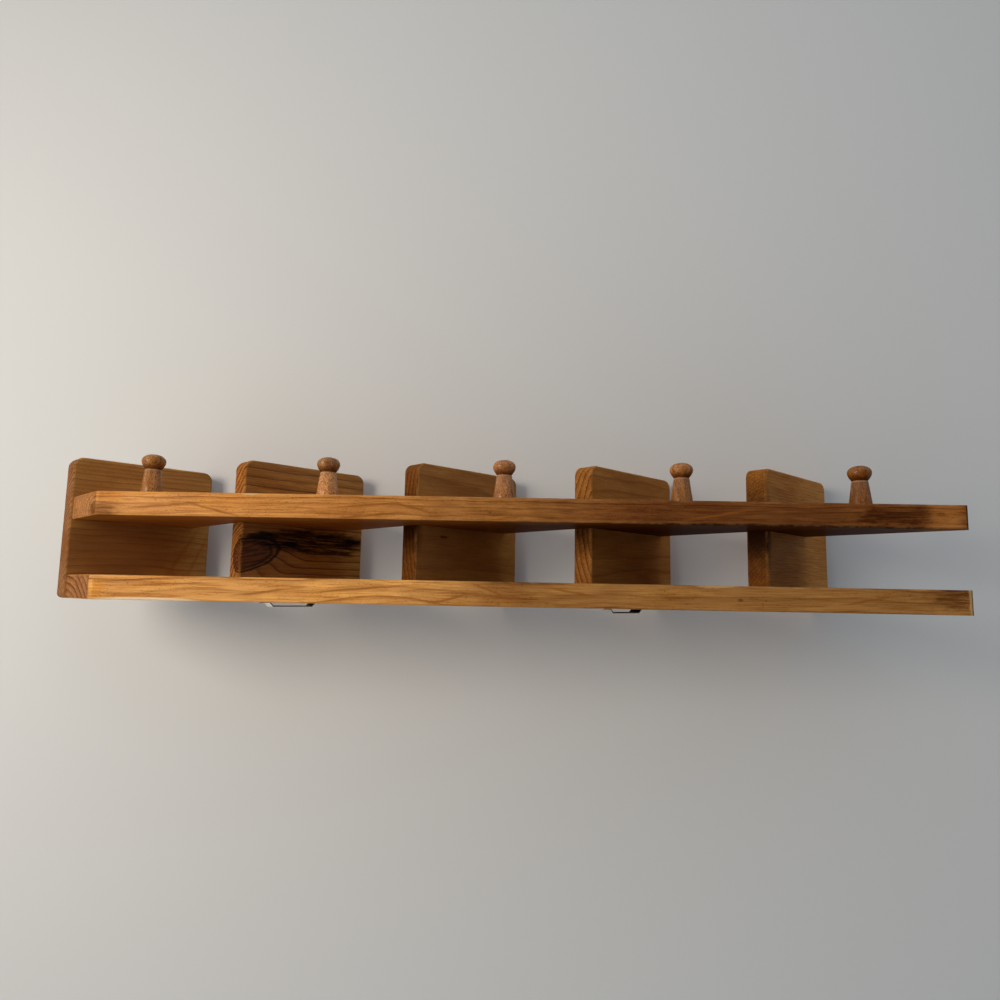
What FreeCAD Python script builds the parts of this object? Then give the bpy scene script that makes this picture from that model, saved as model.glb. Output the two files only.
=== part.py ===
import FreeCAD, Part
import math
import os
import Sketcher

# A stair-step wall shelf: two saw-tooth stringers side by side carry five square treads in their
# notches, the front stringer holds five turned pegs, and two steel hangers are nailed to the back one.
# The shelf is modelled as it hangs. +X runs to the right seen from the front, +Z is up and the wall is
# the plane y = 0, with the shelf in front of it, towards -Y. The origin is the centre of the middle
# tread's back edge. The stair comes down from the upper left to the lower right.

TREADS = 5
MIDDLE = TREADS // 2

# Driving dimensions in millimetres.
SIZES = {
    # The stair: level and upright distance from one tread to the next, the least wood between a notch
    # corner and the straight lower edge, the shorter seat of the lowest tread, the level cut at the tip and
    # how far the first tread stands out over the stringers' upper ends.
    "step_run": 102.0,
    "step_rise": 102.0,
    "throat": 40.5,
    "last_seat": 73.0,
    "foot_flat": 4.0,
    "upper_overhang": 2.0,
    # The stringers and the clear space between them.
    "stringer_thickness": 19.0,
    "stringer_gap": 46.0,
    "stringer_edge_round": 1.6,
    # The treads.
    "tread_length": 118.0,
    "tread_depth": 118.0,
    "tread_thickness": 18.5,
    "front_corner_radius": 8.0,
    "back_corner_radius": 4.0,
    "tread_edge_round": 1.8,
    # The pegs: a tapered shaft under a rounded head, with a tenon in a blind hole, in a row beside the
    # straight lower edge. The crown is the part of the head above its widest ring, and the shoulder is
    # the smaller of the crown's two radii.
    "peg_edge_distance": 30.0,
    "peg_reach": 34.4,
    "peg_base_diameter": 18.2,
    "peg_base_land": 1.0,
    "peg_neck_diameter": 12.4,
    "peg_head_diameter": 18.6,
    "peg_head_height": 12.4,
    "peg_crown_height": 5.8,
    "peg_shoulder_radius": 4.2,
    "tenon_diameter": 9.5,
    "tenon_length": 13.0,
    "tenon_chamfer": 0.8,
    "tenon_clearance": 0.1,
    "tenon_end_room": 1.0,
    # The hangers: a steel strip with two flat, nailed ends and a raised, toothed middle between them, hung
    # under a tread at its own distance from that tread's left end.
    "hanger_length": 60.0,
    "hanger_width": 10.0,
    "hanger_gauge": 0.9,
    "hanger_rise": 4.0,
    "hanger_end": 9.2,
    "hanger_ramp": 3.2,
    "hanger_drop": 12.0,
    "upper_hanger_along": 41.0,
    "lower_hanger_along": 25.0,
    "tooth_pitch": 2.8,
    "tooth_depth": 1.7,
    # The nails of the hangers, measured without their heads.
    "brad_diameter": 1.5,
    "brad_head_diameter": 3.2,
    "brad_head_height": 0.7,
    "brad_length": 9.0,
    "brad_tip_length": 2.0,
    "brad_end_inset": 3.3,
    # The finishing nails of the treads, measured with their heads, which are driven a little below the face.
    "nail_diameter": 2.2,
    "nail_head_diameter": 3.4,
    "nail_head_height": 1.2,
    "nail_length": 38.0,
    "nail_tip_length": 3.0,
    "nail_set": 0.4,
    "nail_inset": 14.0,
    "nail_clearance": 0.05,
}

doc = FreeCAD.newDocument("stair_shelf")
sheet = doc.addObject("Spreadsheet::Sheet", "Sizes")
for row, (alias, value) in enumerate(SIZES.items(), start=1):
    sheet.set("A%d" % row, str(value))
    sheet.setAlias("A%d" % row, alias)
doc.recompute()

# Lengths that several pieces share, worked out from the sheet.
STEP_PITCH = "sqrt(Sizes.step_run^2 + Sizes.step_rise^2)"
LOWER_EDGE_DROP = "(Sizes.throat * %s / Sizes.step_run)" % STEP_PITCH
UPPER_END_DROP = "(%s + Sizes.upper_overhang * Sizes.step_rise / Sizes.step_run)" % LOWER_EDGE_DROP
LAST_RISER = "(%s + (Sizes.last_seat - Sizes.foot_flat) * Sizes.step_rise / Sizes.step_run)" % LOWER_EDGE_DROP
STRINGER_PITCH = "(Sizes.stringer_thickness + Sizes.stringer_gap)"
BACK_CENTRE = "(Sizes.stringer_thickness / 2)"
FRONT_CENTRE = "(%s + %s)" % (STRINGER_PITCH, BACK_CENTRE)
FRONT_FACE = "(%s + Sizes.stringer_thickness)" % STRINGER_PITCH
NAIL_HOLE = "(Sizes.nail_diameter + 2 * Sizes.nail_clearance)"
NAIL_DEPTH = "(Sizes.nail_length + Sizes.nail_set - Sizes.tread_thickness)"
BRAD_HOLE = "(Sizes.brad_diameter + 2 * Sizes.nail_clearance)"
BRAD_REACH = "(Sizes.hanger_length / 2 - Sizes.brad_end_inset)"
HANGER_FOOT = "(Sizes.hanger_length / 2 - Sizes.hanger_end)"
HANGER_BEND = "(%s - Sizes.hanger_ramp)" % HANGER_FOOT
HANGER_LIFT = "(Sizes.hanger_rise - Sizes.hanger_gauge)"
HANGER_SLOPE = "sqrt(Sizes.hanger_ramp^2 + %s^2)" % HANGER_LIFT
BEND_SHIFT = "(Sizes.hanger_gauge * (%s - Sizes.hanger_ramp) / %s)" % (HANGER_SLOPE, HANGER_LIFT)

# Each hanger's tread, counted from 0 at the top, and its distance along that tread.
HANGERS = {"upper": (1, "Sizes.upper_hanger_along"), "lower": (3, "Sizes.lower_hanger_along")}


def tread_left(step):
    """Where the left end of a tread lies, counted from 0 at the top."""
    return "(%d * Sizes.step_run - Sizes.tread_length / 2)" % (step - MIDDLE)


def tread_under(step):
    """How high the underside of a tread lies."""
    return "(%d * Sizes.step_rise - Sizes.tread_thickness / 2)" % (MIDDLE - step)


def seat_start(step):
    """Where the seat of a tread starts: at its left end, or for the first at the stringers' upper end."""
    if step == 0:
        return "(%s + Sizes.upper_overhang)" % tread_left(step)
    return tread_left(step)


def seat_length(step):
    """How far the notch that carries a tread reaches from the tread's left end."""
    if step == TREADS - 1:
        return "Sizes.last_seat"
    return "Sizes.step_run"


def nail_places(step):
    """Distances from a tread's left end to its two nails over each stringer."""
    return "Sizes.nail_inset", "(%s - Sizes.nail_inset)" % seat_length(step)


def peg_place(step):
    """A peg stands midway between two notch corners, moved square to the lower edge to its own distance."""
    inward = "((Sizes.throat - Sizes.peg_edge_distance) / %s)" % STEP_PITCH
    across = "(%s + Sizes.step_run / 2 - %s * Sizes.step_rise)" % (tread_left(step), inward)
    upward = "(%s - Sizes.step_rise / 2 - %s * Sizes.step_run)" % (tread_under(step), inward)
    return across, upward


def hanger_place(which):
    """Centre of a hanger on the back stringer."""
    step, along = HANGERS[which]
    return "(%s + %s)" % (tread_left(step), along), "(%s - Sizes.hanger_drop)" % tread_under(step)


def value_of(expression):
    """The number that an expression over the sheet gives."""
    return float(sheet.evalExpression(expression))


def new_body(name):
    body = doc.addObject("PartDesign::Body", name)
    body.Label = name
    return body


def place(body, x="0", y="0", z="0", tilt=0):
    """Binds a body's position to the sheet, after tilting it about X by a number of degrees."""
    body.Placement = FreeCAD.Placement(FreeCAD.Vector(), FreeCAD.Rotation(FreeCAD.Vector(1, 0, 0), tilt))
    for axis, expression in (("x", x), ("y", y), ("z", z)):
        body.setExpression("Placement.Base." + axis, expression)


def origin_feature(body, role):
    return [feature for feature in body.Origin.OriginFeatures if feature.Role == role][0]


def new_sketch(body, name, plane, offset="0"):
    """A sketch on one of the body's own origin planes, moved along the plane's normal by an expression."""
    sketch = body.newObject("Sketcher::SketchObject", name)
    sketch.AttachmentSupport = [(origin_feature(body, plane), "")]
    sketch.MapMode = "FlatFace"
    sketch.setExpression("AttachmentOffset.Base.z", offset)
    return sketch


def bind(sketch, constraint, expression):
    """Adds a dimension to a sketch and binds it to an expression."""
    index = sketch.addConstraint(constraint)
    sketch.setExpression("Constraints[%d]" % index, expression)


def pin_height(sketch, geometry, point, upward):
    bind(sketch, Sketcher.Constraint("DistanceY", -1, 1, geometry, point, value_of(upward)), upward)


def pin_point(sketch, geometry, point, across, upward):
    """Fixes a point of a sketch at a distance from the sketch's origin along both axes."""
    bind(sketch, Sketcher.Constraint("DistanceX", -1, 1, geometry, point, value_of(across)), across)
    pin_height(sketch, geometry, point, upward)


def open_outline(sketch, corners):
    """Straight edges through corners, which are pairs of expressions, every corner bound to the sheet."""
    points = [FreeCAD.Vector(value_of(x), value_of(y), 0) for x, y in corners]
    for index, (start, end) in enumerate(zip(points, points[1:])):
        sketch.addGeometry(Part.LineSegment(start, end), False)
        pin_point(sketch, index, 1, *corners[index])
        if index > 0:
            sketch.addConstraint(Sketcher.Constraint("Coincident", index - 1, 2, index, 1))
    return len(points) - 2


def closed_outline(sketch, corners):
    last = open_outline(sketch, corners + corners[:1])
    sketch.addConstraint(Sketcher.Constraint("Coincident", last, 2, 0, 1))
    doc.recompute()


def circle(sketch, x, y, diameter):
    """A circle whose centre and diameter are bound to the sheet."""
    centre = FreeCAD.Vector(value_of(x), value_of(y), 0)
    shape = Part.Circle(centre, FreeCAD.Vector(0, 0, 1), value_of(diameter) / 2)
    index = sketch.addGeometry(shape, False)
    pin_point(sketch, index, 3, x, y)
    bind(sketch, Sketcher.Constraint("Diameter", index, value_of(diameter)), diameter)


def pad(body, sketch, length, both_ways=False):
    feature = body.newObject("PartDesign::Pad", "pad")
    feature.Profile = sketch
    feature.Midplane = both_ways
    feature.setExpression("Length", length)
    doc.recompute()


def pocket(body, sketch, length, along_normal=False):
    """Cuts a sketch into the body and makes sure that the cut took something away."""
    doc.recompute()
    before = body.Shape.Volume
    feature = body.newObject("PartDesign::Pocket", "pocket")
    feature.Profile = sketch
    feature.Reversed = along_normal
    feature.setExpression("Length", length)
    doc.recompute()
    if body.Shape.Volume >= before:
        raise RuntimeError("a pocket in %s cut nothing" % body.Label)


def turn(body, sketch):
    """Spins a half section about the sketch's upright axis."""
    feature = body.newObject("PartDesign::Revolution", "turning")
    feature.Profile = sketch
    feature.ReferenceAxis = (sketch, ["V_Axis"])
    feature.Angle = 360
    doc.recompute()
    return feature


def round_edges(body, chosen, radius):
    """Rounds those edges of the body that a test picks."""
    names = []
    for number, edge in enumerate(body.Shape.Edges, start=1):
        direction = edge.tangentAt(edge.FirstParameter)
        middle = edge.valueAt((edge.FirstParameter + edge.LastParameter) / 2)
        if chosen(direction, middle):
            names.append("Edge%d" % number)
    base = body.Tip
    feature = body.newObject("PartDesign::Fillet", "rounding")
    feature.Base = (base, names)
    feature.setExpression("Radius", radius)
    doc.recompute()


def repeat_in_pairs(body, feature, first, second=None):
    """Repeats a feature once along one axis of the body, or also along another: (role, spacing) each."""
    pattern = body.newObject("PartDesign::LinearPattern", "pairs")
    pattern.Originals = [feature]
    pattern.Direction = (origin_feature(body, first[0]), [""])
    pattern.Occurrences = 2
    pattern.setExpression("Length", first[1])
    if second:
        pattern.Direction2 = (origin_feature(body, second[0]), [""])
        pattern.Occurrences2 = 2
        pattern.setExpression("Length2", second[1])
    body.Tip = pattern
    doc.recompute()


# The stringers: a board sawn to a stair on its upper edge and left straight on its lower edge. Its upper
# end is cut upright, just inside the first tread's end, and its tip is cut level. Its outer edges are
# sanded round.
def stair_corners():
    """Corners of the board, from the top notch down the stair and back along the straight edge."""
    corners = []
    for step in range(TREADS):
        corners.append((seat_start(step), tread_under(step)))
        corners.append(("(%s + %s)" % (tread_left(step), seat_length(step)), tread_under(step)))
    tip = "(%s + Sizes.last_seat)" % tread_left(TREADS - 1)
    foot = "(%s - %s)" % (tread_under(TREADS - 1), LAST_RISER)
    corners.append((tip, foot))
    corners.append(("(%s - Sizes.foot_flat)" % tip, foot))
    corners.append((seat_start(0), "(%s - %s)" % (tread_under(0), UPPER_END_DROP)))
    return corners


def on_outer_side(direction, middle):
    """True for the long edges of the straight lower side and of the upright end cut, on either face."""
    along_board = abs(direction.y) < 0.5
    slanted = abs(direction.x) > 0.1 and abs(direction.z) > 0.1
    at_end_cut = abs(middle.x - value_of(seat_start(0))) < 0.01
    return along_board and (slanted or at_end_cut)


def stringer(name, forward):
    body = new_body(name)
    board = new_sketch(body, name + "_outline", "XZ_Plane")
    closed_outline(board, stair_corners())
    pad(body, board, "Sizes.stringer_thickness")
    round_edges(body, on_outer_side, "Sizes.stringer_edge_round")
    for step in range(TREADS):
        holes = new_sketch(body, "%s_nail_holes_%d" % (name, step + 1), "XY_Plane", tread_under(step))
        for along in nail_places(step):
            circle(holes, "(%s + %s)" % (tread_left(step), along), "-" + BACK_CENTRE, NAIL_HOLE)
        pocket(body, holes, "(%s + Sizes.nail_clearance)" % NAIL_DEPTH)
    place(body, y="-" + forward)
    return body


def front_stringer():
    body = stringer("front_stringer", STRINGER_PITCH)
    holes = new_sketch(body, "peg_holes", "XZ_Plane", "Sizes.stringer_thickness")
    for step in range(TREADS):
        across, upward = peg_place(step)
        circle(holes, across, upward, "(Sizes.tenon_diameter + 2 * Sizes.tenon_clearance)")
    pocket(body, holes, "(Sizes.tenon_length + Sizes.tenon_end_room)")
    return body


def back_stringer():
    body = stringer("back_stringer", "0")
    holes = new_sketch(body, "brad_holes", "XZ_Plane")
    for which in HANGERS:
        across, upward = hanger_place(which)
        circle(holes, "(%s - %s)" % (across, BRAD_REACH), upward, BRAD_HOLE)
        circle(holes, "(%s + %s)" % (across, BRAD_REACH), upward, BRAD_HOLE)
    pocket(body, holes, "(Sizes.brad_length - Sizes.hanger_gauge + Sizes.nail_clearance)", along_normal=True)
    return body


# The treads: square boards with larger rounded corners at the front, all edges sanded round. Each sits in
# a notch of both stringers with its left end against the riser above, nailed down from its top face.
def tread(step):
    name = "tread_%d" % (step + 1)
    body = new_body(name)
    board = new_sketch(body, name + "_outline", "XY_Plane")
    closed_outline(board, [("0", "0"), ("Sizes.tread_length", "0"),
                           ("Sizes.tread_length", "-Sizes.tread_depth"), ("0", "-Sizes.tread_depth")])
    pad(body, board, "Sizes.tread_thickness")
    half_depth = value_of("Sizes.tread_depth") / 2
    round_edges(body, lambda along, middle: abs(along.z) > 0.9 and middle.y < -half_depth,
                "Sizes.front_corner_radius")
    round_edges(body, lambda along, middle: abs(along.z) > 0.9 and middle.y > -0.01,
                "Sizes.back_corner_radius")
    round_edges(body, lambda along, middle: abs(along.z) < 0.1, "Sizes.tread_edge_round")
    shanks = new_sketch(body, name + "_shank_holes", "XY_Plane", "Sizes.tread_thickness")
    heads = new_sketch(body, name + "_head_holes", "XY_Plane", "Sizes.tread_thickness")
    for along in nail_places(step):
        for centre in (BACK_CENTRE, FRONT_CENTRE):
            circle(shanks, along, "-" + centre, NAIL_HOLE)
            circle(heads, along, "-" + centre, "(Sizes.nail_head_diameter + 2 * Sizes.nail_clearance)")
    pocket(body, shanks, "Sizes.tread_thickness")
    pocket(body, heads, "(Sizes.nail_set + Sizes.nail_head_height)")
    place(body, x=tread_left(step), z=tread_under(step))
    return body


# The nails: a round shank with a tapered tip and a flat head, turned once and repeated.
def nail(body, shank, head, head_height, length, tip):
    """One nail, pointing down, with the top of its head at the body's origin."""
    section = new_sketch(body, body.Label + "_section", "XZ_Plane")
    taper = "-(%s - %s)" % (length, tip)
    closed_outline(section, [("0", "0"), (head + " / 2", "0"), (head + " / 2", "-" + head_height),
                             (shank + " / 2", "-" + head_height), (shank + " / 2", taper),
                             ("0", "-" + length)])
    return turn(body, section)


def tread_nails(step):
    body = new_body("tread_nails_%d" % (step + 1))
    one = nail(body, "Sizes.nail_diameter", "Sizes.nail_head_diameter", "Sizes.nail_head_height",
               "Sizes.nail_length", "Sizes.nail_tip_length")
    near, far = nail_places(step)
    repeat_in_pairs(body, one, ("X_Axis", "(%s - %s)" % (far, near)), ("Y_Axis", STRINGER_PITCH))
    place(body, x="(%s + %s)" % (tread_left(step), near), y="-" + FRONT_CENTRE,
          z="(%s + Sizes.tread_thickness - Sizes.nail_set)" % tread_under(step))
    return body


def hanger_nails(which):
    body = new_body("hanger_nails_" + which)
    one = nail(body, "Sizes.brad_diameter", "Sizes.brad_head_diameter", "Sizes.brad_head_height",
               "(Sizes.brad_head_height + Sizes.brad_length)", "Sizes.brad_tip_length")
    repeat_in_pairs(body, one, ("X_Axis", "(2 * %s)" % BRAD_REACH))
    across, upward = hanger_place(which)
    place(body, x="(%s - %s)" % (across, BRAD_REACH), y="(Sizes.hanger_gauge + Sizes.brad_head_height)",
          z=upward, tilt=-90)
    return body


# The hangers: a strip of thin steel with flat nailed ends and a raised middle, whose lower edge is
# cut into teeth that sit on a nail in the wall.
def hanger(which):
    body = new_body("hanger_" + which)
    end = "(Sizes.hanger_length / 2)"
    strip = new_sketch(body, body.Label + "_strip", "XY_Plane")
    board_side = [(end, "0"), (HANGER_FOOT, "0"), (HANGER_BEND, HANGER_LIFT)]
    wall_side = [("(%s + %s)" % (HANGER_BEND, BEND_SHIFT), "Sizes.hanger_rise"),
                 ("(%s + %s)" % (HANGER_FOOT, BEND_SHIFT), "Sizes.hanger_gauge"),
                 (end, "Sizes.hanger_gauge")]
    mirrored_board = [("-" + x, y) for x, y in board_side]
    mirrored_wall = [("-" + x, y) for x, y in wall_side]
    closed_outline(strip, mirrored_board + board_side[::-1] + wall_side[::-1] + mirrored_wall)
    pad(body, strip, "Sizes.hanger_width", both_ways=True)
    teeth = int(2 * value_of(HANGER_BEND) // value_of("Sizes.tooth_pitch")) - 1
    edge = "-(Sizes.hanger_width / 2)"
    valley = "(Sizes.tooth_depth - Sizes.hanger_width / 2)"
    below = "-(Sizes.hanger_width / 2 + Sizes.tooth_depth)"
    zigzag = []
    for half in range(2 * teeth + 1):
        zigzag.append(("(%d * Sizes.tooth_pitch / 2)" % (half - teeth), valley if half % 2 else edge))
    cut = new_sketch(body, body.Label + "_teeth", "XZ_Plane")
    closed_outline(cut, zigzag + [(zigzag[-1][0], below), (zigzag[0][0], below)])
    pocket(body, cut, "Sizes.hanger_rise")
    holes = new_sketch(body, body.Label + "_holes", "XZ_Plane")
    circle(holes, "-" + BRAD_REACH, "0", BRAD_HOLE)
    circle(holes, BRAD_REACH, "0", BRAD_HOLE)
    pocket(body, holes, "Sizes.hanger_gauge")
    across, upward = hanger_place(which)
    place(body, x=across, z=upward)
    return body


# The pegs: turned in one piece, a tapered shaft that widens to its foot and a rounded head, with a round
# tenon glued in the front stringer. The section is drawn upright, and the peg is laid over to point forward.
def peg(step):
    body = new_body("peg_%d" % (step + 1))
    section = new_sketch(body, body.Label + "_section", "XZ_Plane")
    tenon = "(Sizes.tenon_diameter / 2)"
    base = "(Sizes.peg_base_diameter / 2)"
    neck = "(Sizes.peg_neck_diameter / 2)"
    head = "(Sizes.peg_head_diameter / 2)"
    under = "(Sizes.peg_reach - Sizes.peg_head_height)"
    widest = "(Sizes.peg_reach - Sizes.peg_crown_height)"
    taper = open_outline(section, [
        ("0", "Sizes.peg_reach"), ("0", "-Sizes.tenon_length"),
        ("(%s - Sizes.tenon_chamfer)" % tenon, "-Sizes.tenon_length"),
        (tenon, "-(Sizes.tenon_length - Sizes.tenon_chamfer)"), (tenon, "0"), (base, "0"),
        (base, "Sizes.peg_base_land"), (neck, under)])
    pin_point(section, taper, 2, neck, under)

    # The head's three arcs: a bowl from the neck out to the widest ring, a small shoulder above it,
    # and a flatter dome that meets the shoulder smoothly and is centred on the axis.
    ring = FreeCAD.Vector(value_of(head), value_of(widest), 0)
    lip = FreeCAD.Vector(value_of(neck), value_of(under), 0)
    crown = value_of("Sizes.peg_crown_height")
    small = value_of("Sizes.peg_shoulder_radius")
    bowl_radius = ((ring.x - lip.x) ** 2 + (ring.y - lip.y) ** 2) / (2 * (ring.x - lip.x))
    inset = ring.x - small
    large = (inset ** 2 + crown ** 2 - small ** 2) / (2 * (crown - small))
    bowl_centre = FreeCAD.Vector(ring.x - bowl_radius, ring.y, 0)
    shoulder_centre = FreeCAD.Vector(inset, ring.y, 0)
    dome_centre = FreeCAD.Vector(0, ring.y + crown - large, 0)
    lip_angle = math.atan2(lip.y - bowl_centre.y, lip.x - bowl_centre.x)
    meet_angle = math.atan2(shoulder_centre.y - dome_centre.y, inset)
    upright = FreeCAD.Vector(0, 0, 1)
    arcs = [(bowl_centre, bowl_radius, lip_angle, 0), (shoulder_centre, small, 0, meet_angle),
            (dome_centre, large, meet_angle, math.pi / 2)]
    bowl, shoulder, dome = [
        section.addGeometry(Part.ArcOfCircle(Part.Circle(centre, upright, radius), start, end), False)
        for centre, radius, start, end in arcs]
    section.addConstraint(Sketcher.Constraint("Coincident", taper, 2, bowl, 1))
    section.addConstraint(Sketcher.Constraint("Coincident", bowl, 2, shoulder, 1))
    section.addConstraint(Sketcher.Constraint("Tangent", shoulder, 2, dome, 1))
    section.addConstraint(Sketcher.Constraint("Coincident", dome, 2, 0, 1))
    section.addConstraint(Sketcher.Constraint("PointOnObject", dome, 3, -2))
    pin_point(section, bowl, 2, head, widest)
    pin_height(section, bowl, 3, widest)
    pin_height(section, shoulder, 3, widest)
    bind(section, Sketcher.Constraint("Radius", shoulder, small), "Sizes.peg_shoulder_radius")
    doc.recompute()
    turn(body, section)
    across, upward = peg_place(step)
    place(body, x=across, y="-" + FRONT_FACE, z=upward, tilt=90)
    return body


pieces = [front_stringer(), back_stringer()]
for step in range(TREADS):
    pieces += [tread(step), tread_nails(step), peg(step)]
for which in HANGERS:
    pieces += [hanger(which), hanger_nails(which)]
doc.recompute()

for item in doc.Objects:
    if "Invalid" in item.State or "Error" in item.State:
        raise RuntimeError("%s did not build: %s" % (item.Label, item.State))
for piece in pieces:
    if piece.Shape.isNull() or not piece.Shape.isValid():
        raise RuntimeError("%s has no valid shape" % piece.Label)

os.makedirs("parts", exist_ok=True)
for piece in pieces:
    piece.Shape.exportStep(os.path.join("parts", piece.Label + ".step"))
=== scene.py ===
import math

import bmesh
import bpy
from mathutils import Matrix, Vector


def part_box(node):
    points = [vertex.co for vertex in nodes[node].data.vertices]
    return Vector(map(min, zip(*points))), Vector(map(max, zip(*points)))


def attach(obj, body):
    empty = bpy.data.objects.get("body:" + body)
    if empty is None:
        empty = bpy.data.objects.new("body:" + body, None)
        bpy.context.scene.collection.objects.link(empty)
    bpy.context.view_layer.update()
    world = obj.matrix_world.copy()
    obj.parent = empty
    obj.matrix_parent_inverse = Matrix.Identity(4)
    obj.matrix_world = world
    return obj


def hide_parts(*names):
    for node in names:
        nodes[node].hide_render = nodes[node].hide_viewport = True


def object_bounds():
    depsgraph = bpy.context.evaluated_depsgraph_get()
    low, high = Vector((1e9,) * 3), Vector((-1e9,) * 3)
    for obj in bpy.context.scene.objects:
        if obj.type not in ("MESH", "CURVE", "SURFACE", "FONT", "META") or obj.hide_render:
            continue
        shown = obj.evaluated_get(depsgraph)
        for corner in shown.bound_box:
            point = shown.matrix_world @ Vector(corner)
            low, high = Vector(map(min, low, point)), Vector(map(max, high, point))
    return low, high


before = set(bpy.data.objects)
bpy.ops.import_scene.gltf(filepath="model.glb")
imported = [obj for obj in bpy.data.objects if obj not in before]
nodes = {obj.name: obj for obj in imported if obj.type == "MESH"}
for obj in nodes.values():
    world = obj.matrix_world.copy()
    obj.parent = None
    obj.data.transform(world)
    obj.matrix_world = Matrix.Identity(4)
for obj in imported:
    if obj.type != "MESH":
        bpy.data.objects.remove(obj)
cad_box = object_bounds()
MM = 0.001

# The front stringer: a saw-tooth pine board with its grain running down the stair and a planed lower edge.
# It was wiped with honey stain and brushed with satin varnish, and is darker and redder towards the foot.
DOWN_STAIR = Vector((1, 0, -1)).normalized()
OFF_LOWER_EDGE = Vector((1, 0, 1)).normalized()
PALE_PINE = (0.76, 0.33, 0.084)
DARK_RING = (0.27, 0.08, 0.012)
RAW_PINE = (0.68, 0.42, 0.19)
RUBBED_PINE = (0.66, 0.32, 0.10)
# Tints, which multiply the wood's colour.
FIBRE_SHADE = (0.68, 0.57, 0.45)
STAIN_SHADE = (0.82, 0.74, 0.64)
GOLD_TINT = (1.16, 1.18, 1.1)
PORE_SHADE = (0.45, 0.33, 0.24)
CUT_SHADE = (0.75, 0.66, 0.58)
CUT_RING_SHADE = (0.36, 0.27, 0.22)
OPEN_FIBRE_SHADE = (0.62, 0.56, 0.50)
# Patterns of the wood, by their fineness per millimetre along, across and through the board.
WANDER = (0.0065, 0.016, 0.016)
RIPPLE = (0.03, 0.09, 0.09)
FIBRES = (0.035, 1.2, 1.2)
STAIN_CLOUDS = (0.012, 0.045, 0.045)
GOLD_CLOUDS = (0.022, 0.1, 0.1)
PORES = (0.45, 1.3, 1.3)
BLOTS = (0.06, 0.2, 0.2)
OPEN_FIBRES = (0.4, 1.2, 1.2)
NICKS = (0.09, 0.09, 0.09)
STREAKS = (0.045, 0.6, 0.6)
# How finely the rings' width changes away from the heart and how many rings that shifts, and the shares of
# one ring where its wood darkens, where its late line does and where both end.
RING_UNEVENNESS = (0.05, 0.0, 0.0)
RING_SHIFT = 1.7
RING_SHADE = (0.2, 0.9)
LATE_WOOD = (0.72, 0.93)
RING_END = (1.0, 0.94)
# Bands beside an edge that hands have rubbed or knocks have chipped, in millimetres.
RUBBED_BAND = (2.6, 0.6)
CHIPPED_BAND = (0.9, 0.2)
CHIP_RAGGEDNESS = 3.0
# How far rings ripple and late lines wander, and how deep the grain is, in millimetres.
RIPPLE_DEPTH = 1.6
LINE_WANDER = 3.0
GRAIN_DEPTH = 0.25
# The wood's own roughness, and the weight and roughness of the varnish on it.
PINE_ROUGHNESS = 0.5
VARNISH = 0.13
VARNISH_ROUGHNESS = 0.3


class Strand:
    """A socket in a node tree. Sums and products of strands add the nodes that work them out."""

    def __init__(self, tree, socket):
        self.tree = tree
        self.socket = socket

    def node(self, kind, settings, sockets, output=0):
        """Adds a node: its settings first, then a value or a link for each socket, by name or number."""
        made = self.tree.nodes.new(kind)
        for name, value in settings.items():
            setattr(made, name, value)
        for name, value in sockets.items():
            if isinstance(value, Strand):
                self.tree.links.new(value.socket, made.inputs[name])
            else:
                made.inputs[name].default_value = value
        return Strand(self.tree, made.outputs[output])

    def maths(self, operation, *values):
        return self.node("ShaderNodeMath", {"operation": operation}, dict(enumerate(values)))

    def __add__(self, other):
        return self.maths("ADD", self, other)

    def __radd__(self, other):
        return self.maths("ADD", other, self)

    def __sub__(self, other):
        return self.maths("SUBTRACT", self, other)

    def __rsub__(self, other):
        return self.maths("SUBTRACT", other, self)

    def __mul__(self, other):
        return self.maths("MULTIPLY", self, other)

    def __rmul__(self, other):
        return self.maths("MULTIPLY", other, self)

    def size(self):
        """The value without its sign."""
        return self.maths("ABSOLUTE", self)

    def between(self, low, high):
        """0 at low and 1 at high, with a soft ramp between them; low may be the larger."""
        return self.node("ShaderNodeMapRange", {"interpolation_type": "SMOOTHSTEP"},
                         {"Value": self, "From Min": low, "From Max": high})

    def towards(self, direction):
        """How much this direction points along another, from -1 to 1."""
        return self.node("ShaderNodeVectorMath", {"operation": "DOT_PRODUCT"},
                         {0: self, 1: tuple(direction)}, "Value")

    def along(self, direction):
        """How far this point lies along a direction, in millimetres."""
        return self.towards(Vector(direction) / MM)

    def speckle(self, spot, fineness, start=(0, 0, 0), detail=2.0, roughness=0.5):
        """Noise from 0 to 1 at a spot, with its fineness per millimetre in three directions and its start."""
        x, y, z = [value * fine + first for value, fine, first in zip(spot, fineness, start)]
        point = self.node("ShaderNodeCombineXYZ", {}, {0: x, 1: y, 2: z})
        return self.node("ShaderNodeTexNoise", {}, {"Vector": point, "Scale": 1.0, "Detail": detail,
                                                    "Roughness": roughness}, "Fac")

    def mix(self, first, second, blend="MIX"):
        """One colour laid over another, with this value as the share of the second."""
        return self.node("ShaderNodeMix", {"data_type": "RGBA", "blend_type": blend},
                         {0: self, 6: first, 7: second}, 2)


def colour(rgb):
    return (*rgb, 1.0)


def new_finish(name):
    """An empty material, with its surface shader and the object's own coordinates as a strand."""
    material = bpy.data.materials.new(name)
    material.use_nodes = True
    tree = material.node_tree
    shader = tree.nodes["Principled BSDF"]
    here = Strand(tree, tree.nodes.new("ShaderNodeTexCoord").outputs["Object"])
    return material, shader, here


def join(shader, **strands):
    """Links strands to the shader's sockets, whose names are written with _ for a space."""
    for name, strand in strands.items():
        strand.tree.links.new(strand.socket, shader.inputs[name.replace("_", " ")])


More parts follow.
